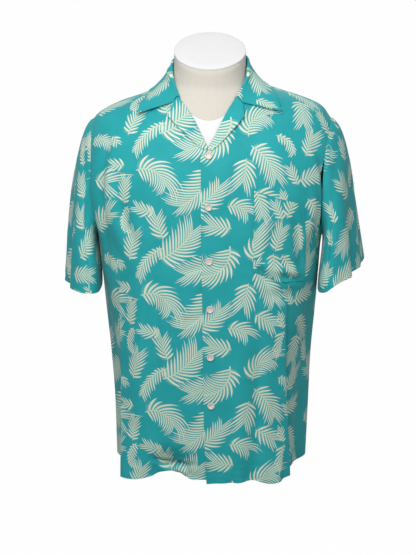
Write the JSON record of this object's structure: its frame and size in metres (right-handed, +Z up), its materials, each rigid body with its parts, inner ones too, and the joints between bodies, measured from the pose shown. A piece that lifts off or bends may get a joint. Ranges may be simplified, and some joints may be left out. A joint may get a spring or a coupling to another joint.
{
  "type": "short-sleeved bowling shirt on a limbless dress form",
  "caption": "Short-sleeved camp-collar shirt with a chest pocket and a button front, printed with palm fronds, worn open at the neck on a limbless dress form.",
  "frame": {"origin": "middle of the dress form's flat foot, on the surface it stands on", "axes": "+Z up the form, -Y the way the shirt's front faces, +X the wearer's left"},
  "size_m": [0.5821, 0.2921, 0.8424],
  "materials": {
    "right_front": "printed rayon, palm fronds in cream on teal",
    "left_front": "printed rayon, palm fronds in cream on teal",
    "right_lapel": "printed rayon, palm fronds in cream on teal",
    "left_lapel": "printed rayon, palm fronds in cream on teal",
    "right_sleeve": "printed rayon, palm fronds in cream on teal",
    "left_sleeve": "printed rayon, palm fronds in cream on teal",
    "back": "printed rayon, palm fronds in cream on teal",
    "collar": "printed rayon, palm fronds in cream on teal",
    "chest_pocket": "printed rayon, palm fronds in cream on teal",
    "button_1": "pearly",
    "button_2": "pearly",
    "button_3": "pearly",
    "button_4": "pearly",
    "button_5": "pearly",
    "button_6": "pearly",
    "form_torso": "matt white",
    "form_neck": "matt warm white",
    "form_neck_cap": "matt white"
  },
  "bodies": {
    "root": {"right_front": "right_front", "left_front": "left_front", "right_lapel": "right_lapel", "left_lapel": "left_lapel", "right_sleeve": "right_sleeve", "left_sleeve": "left_sleeve", "back": "back", "collar": "collar", "chest_pocket": "chest_pocket", "button_1": "button_1", "button_2": "button_2", "button_3": "button_3", "button_4": "button_4", "button_5": "button_5", "button_6": "button_6", "form_torso": "form_torso", "form_neck": "form_neck", "form_neck_cap": "form_neck_cap"}
  },
  "joints": []
}
